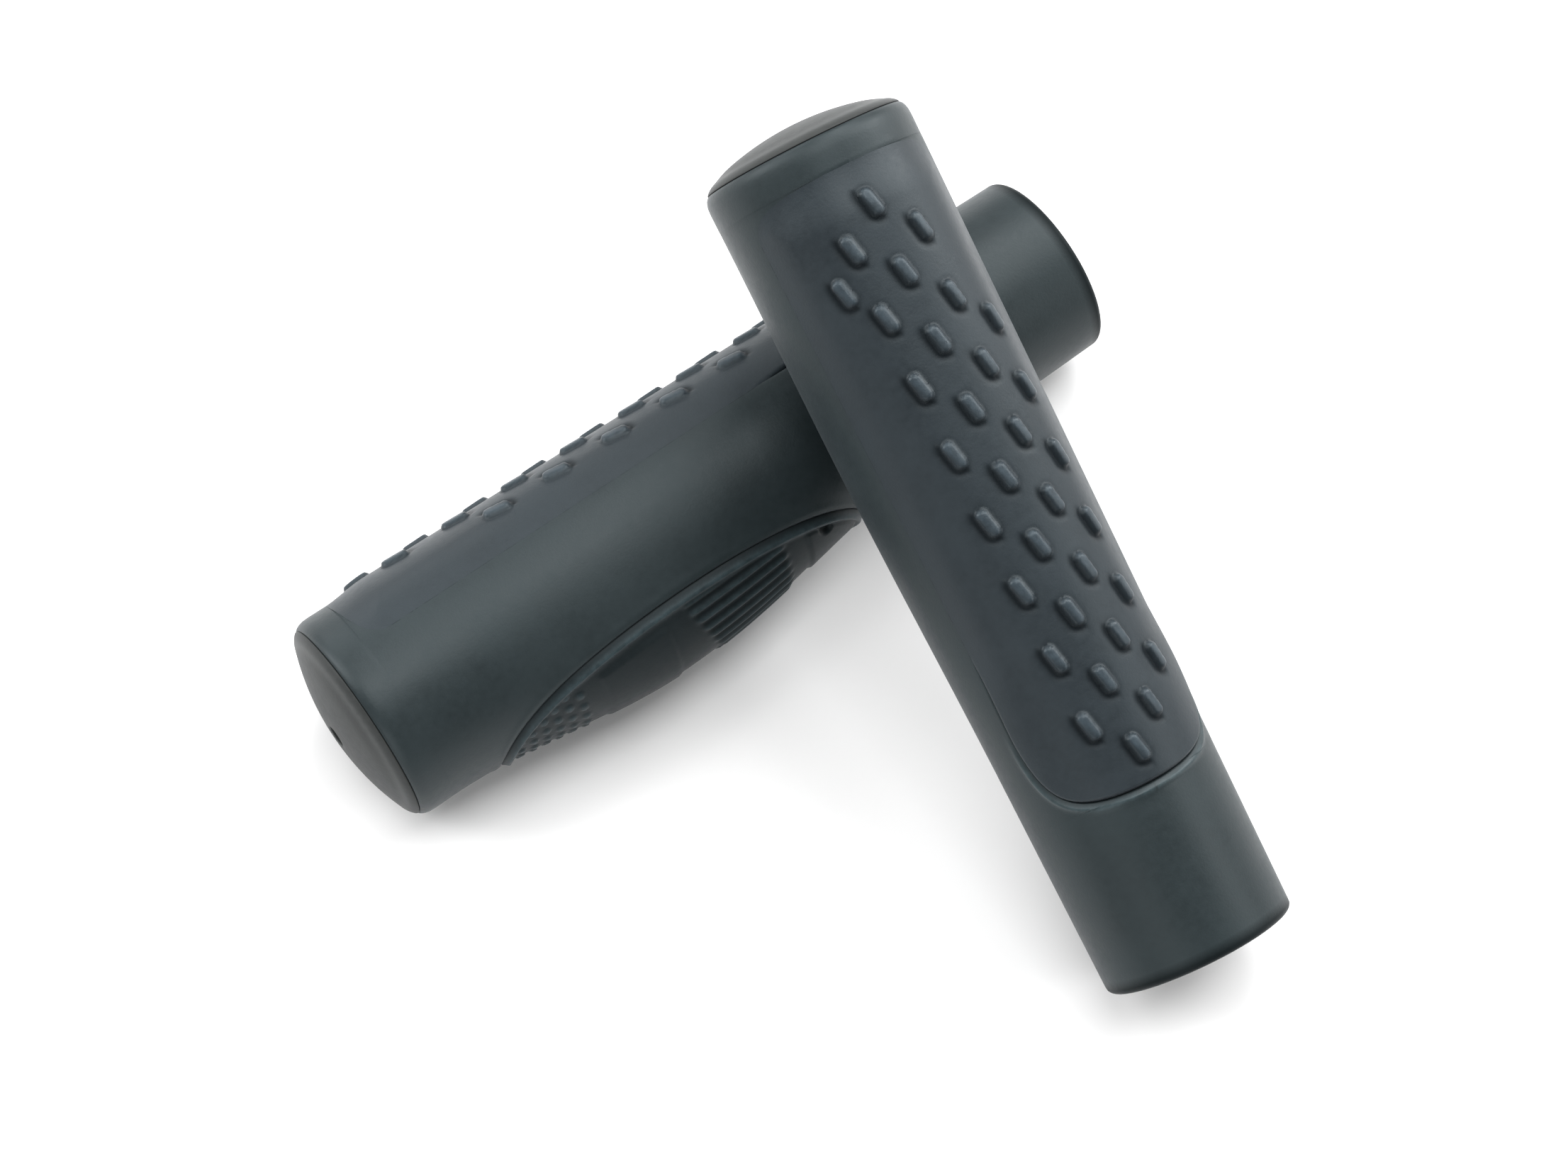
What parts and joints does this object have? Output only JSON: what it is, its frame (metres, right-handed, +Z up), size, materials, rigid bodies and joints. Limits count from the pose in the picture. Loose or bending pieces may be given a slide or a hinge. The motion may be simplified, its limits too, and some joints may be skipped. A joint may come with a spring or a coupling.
{
  "type": "bicycle handlebar grip pair",
  "caption": "Mirrored left and right slip-on comfort grips in charcoal rubber, with nubbed palm pads, ribbed finger inserts and domed closed ends, one leaning across the other.",
  "frame": {"origin": "on the floor under the middle of the pair's bounding box", "axes": "+Z up from the floor; +X along the left grip from its closed end to its open collar, within a degree because the tapered grip lies on its side; the right grip leans over it, its closed end towards +Y"},
  "size_m": [0.1302, 0.1282, 0.075],
  "materials": {
    "soft_rubber": "matte charcoal rubber with a fine moulded grain",
    "palm_rubber": "matte charcoal rubber, slightly tacky, worn smoother on the tops of the nubs",
    "finger_rubber": "soft charcoal rubber, fine ribs",
    "cap_plastic": "satin charcoal moulded plastic",
    "core_plastic": "plain black moulded plastic with faint draw lines"
  },
  "bodies": {
    "left_grip": {"left_core_sleeve": "core_plastic", "left_grip_body": "soft_rubber", "left_palm_pad": "palm_rubber", "left_finger_pad": "finger_rubber", "left_end_cap": "cap_plastic"},
    "right_grip": {"right_core_sleeve": "core_plastic", "right_grip_body": "soft_rubber", "right_palm_pad": "palm_rubber", "right_finger_pad": "finger_rubber", "right_end_cap": "cap_plastic"}
  },
  "joints": [
    {"name": "right_grip_lift", "type": "slide", "parent": "left_grip", "child": "right_grip", "axis": [0, 0, 1], "range_m": [0, 0.06]}
  ]
}
